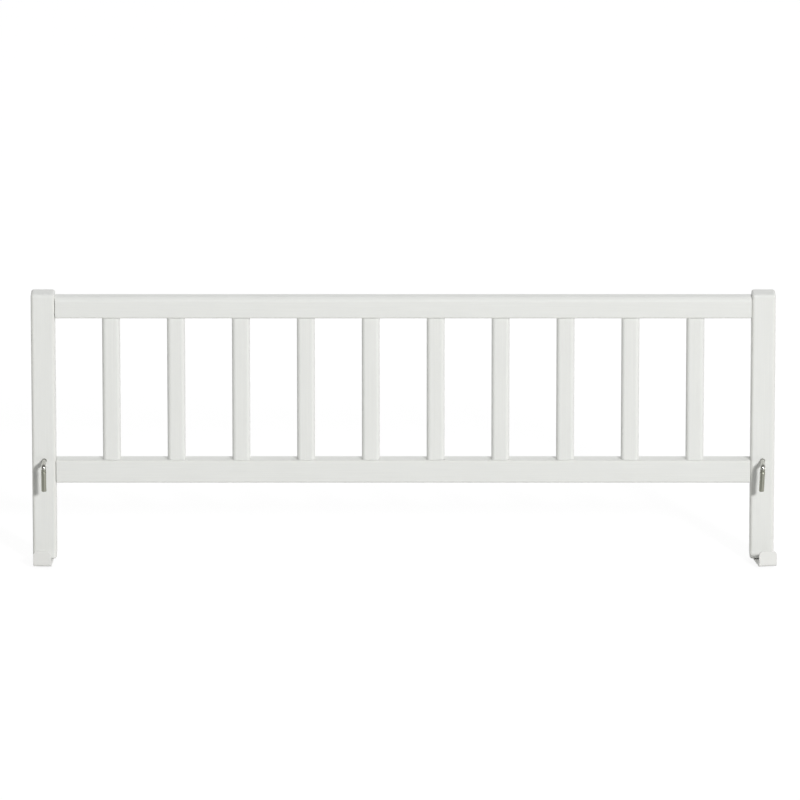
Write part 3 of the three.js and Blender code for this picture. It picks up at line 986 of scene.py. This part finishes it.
def rolled(s, n, u):
    """Flat distance s, height n over the mid-plane and width u, taken round the bend.
    Before the bend y = -s; in it the angle is (s - start)/radius; after it the strip climbs."""
    turn = np.clip((s - BEND_START) / BEND_MIDDLE, 0, np.pi / 2)
    flat = np.minimum(s, BEND_START)
    climb = np.maximum(s - BEND_START - BEND_MIDDLE * np.pi / 2, 0)
    y = -flat - (BEND_MIDDLE - n) * np.sin(turn)
    z = -STRIP_THICK / 2 + BEND_MIDDLE - (BEND_MIDDLE - n) * np.cos(turn) + climb
    return np.stack([u, y, z], axis=-1)


def make_bracket(name):
    """Layers of the outline and of its mirror image, rolled, drilled, turned and set below a post."""
    s, u, normal_s, normal_u = strip_outline()
    depth, inset = strip_layers()
    distance = s[:, None] - inset[None] * normal_s[:, None]
    width = np.maximum(u[:, None] - inset[None] * normal_u[:, None], 0)
    layer = np.broadcast_to(depth[None], distance.shape)
    right = rolled(distance, layer, width)
    left = rolled(distance, layer, -width)
    loop = np.concatenate([right, left[:, ::-1]], axis=1)
    piece = make_piece(f"foot_bracket_{name}_strip", [loop], ladder=True)
    far = CLEAR + STRIP_THICK
    mouth = HOLE + HOLE_EASE
    hole = pin((0, 0, -STRIP_THICK - CLEAR), (0, 0, CLEAR),
               [0, CLEAR, CLEAR + HOLE_EASE, far - HOLE_EASE, far, far + CLEAR],
               [mouth, mouth, HOLE, HOLE, mouth, mouth])
    carve(piece, [hole])
    shade(piece)
    post, half = node_box("post_" + name)
    origin = (post[0], post[1], post[2] - half[2] - TURNING_GAP)
    placed = turned(mesh_points(piece), 2, BRACKET_TURN[name], origin) * MM
    piece.data.vertices.foreach_set("co", placed.ravel())
    piece.data.update()
    piece.data.materials.append(POWDER)
    deliver(piece, "foot_bracket_" + name, "foot_" + name)


for name in SIDES:
    make_bracket(name)

# %% [markdown]
# ## Foot screws
#
# A pan-head wood screw holds each bracket, and the bracket turns on it. Its head is a shallow
# dome with a cross recess, seen only from below, and its thread is the helix again.

# %% Foot screws
HEAD = 4.25
HEAD_HEIGHT = 2.6
HEAD_RIM = 1.17
HEAD_CORNER = 0.15
NECK_ROUND = 0.05
SHANK = 2.0
PLAIN_SHANK = 3.5
SCREW_CORE = 1.35
SCREW_PITCH = 1.8
SCREW_POINT = 5.0
SCREW_BLUNT = 0.03
SCREW_SIDES = 32
CROWN_STEPS = 10
CROWN_START = 0.02
SCREW_ROWS = 120
# Height over the head's crown, reach of an arm and half its width
RECESS_LEVELS = ((-0.4, 2.53, 0.525), (0.05, 2.3, 0.49875), (1.7, 1.3, 0.4725))


def screw_grid(head_base, tip):
    """Rows up the screw from the head's crown to the point; the thread starts above the strip."""
    neck = head_base + HEAD_HEIGHT
    crown = np.linspace(CROWN_START, np.pi / 2, CROWN_STEPS)
    heights = np.concatenate([
        head_base + (HEAD_HEIGHT - HEAD_RIM) * (1 - np.cos(crown)),
        [neck - HEAD_CORNER, neck, neck + NECK_ROUND],
        np.linspace(neck + PLAIN_SHANK, tip, SCREW_ROWS)])
    angle = np.linspace(0, 2 * np.pi, SCREW_SIDES, endpoint=False)
    around, height = np.meshgrid(angle, heights)
    fade = np.clip((height - neck - PLAIN_SHANK) / SCREW_PITCH, 0, 1)
    ridge = helix(height, around, SCREW_PITCH, SCREW_CORE, SHANK)
    radius = SHANK + (ridge - SHANK) * fade
    radius *= np.clip((tip - height) / SCREW_POINT, SCREW_BLUNT, 1)
    shape = np.concatenate([HEAD * np.sin(crown), [HEAD, HEAD - HEAD_CORNER, SHANK]])
    radius[:len(shape)] = shape[:, None]
    return np.stack([radius * np.cos(around), radius * np.sin(around), height], axis=-1)


def cross_recess(head_base):
    """A cross sunk into the head from below: its twelve corners at each level, for arms that
    get shorter and narrower on the way in."""
    rows = []
    for height, reach, half in RECESS_LEVELS:
        quarter = [(reach, -half), (reach, half), (half, half)]
        cross = quarter + [(-y, x) for x, y in quarter]
        cross += [(-x, -y) for x, y in cross]
        rows.append([(x, y, head_base + height) for x, y in cross])
    return np.array(rows)


def make_screw(name):
    """The screw's surface with the recess carved out of its head."""
    node = "foot_screw_" + name
    centre, half = node_box(node)
    base, tip = centre[2] - half[2], centre[2] + half[2]
    middle = [centre[0], centre[1], 0]
    piece = make_piece(node + "_pan_head", [screw_grid(base, tip) + middle])
    carve(piece, [cross_recess(base) + middle])
    shade(piece)
    piece.data.materials.append(ZINC_SCREW)
    deliver(piece, node, "frame")


for name in SIDES:
    make_screw(name)

# %% [markdown]
# ## Dowels
#
# Two beech dowels cross each joint and stay hidden once it is glued. They keep their solids from
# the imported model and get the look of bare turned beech: pale tan wood, darker growth lines
# along the pin, and the short brown flecks that mark beech.


# %% Bare beech
def bare_beech(name):
    """Turned beech along X: growth lines drawn out 25 times, and flecks of about 2 by 0.3 mm."""
    finish, tree = bare_material(name)
    place = add(tree, "ShaderNodeTexCoord").outputs["Object"]
    growth = noise(tree, stretched(tree, place, (0.04, 1, 1)), cell=1.4, detail=4.0, roughness=0.6)
    fleck = add(tree, "ShaderNodeTexVoronoi", {
        "Vector": stretched(tree, place, (0.15, 1, 1)), "Scale": 1 / (0.9 * MM)})
    spot = carried(tree, fleck.outputs["Distance"], 0.12, 0.22, 0.55, 0.0)
    wood = blend(tree, growth, paint("#DDBF94"), paint("#CBA574"))
    colour = blend(tree, spot, wood, paint("#9C7245"))
    rough = carried(tree, growth, 0.3, 0.7, 0.62, 0.78)
    relief = add(tree, "ShaderNodeBump", {"Height": growth, "Strength": 0.4, "Distance": 0.05 * MM})
    surface(tree, {"Base Color": colour, "Roughness": rough, "Normal": relief.outputs[0]})
    return finish


BEECH = bare_beech("bare_turned_beech")
DOWELS = sorted(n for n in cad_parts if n.startswith("dowel_"))
for node in DOWELS:
    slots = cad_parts[node].data.materials
    slots.clear()
    slots.append(BEECH)
print(len(DOWELS), "dowels in", BEECH.name)
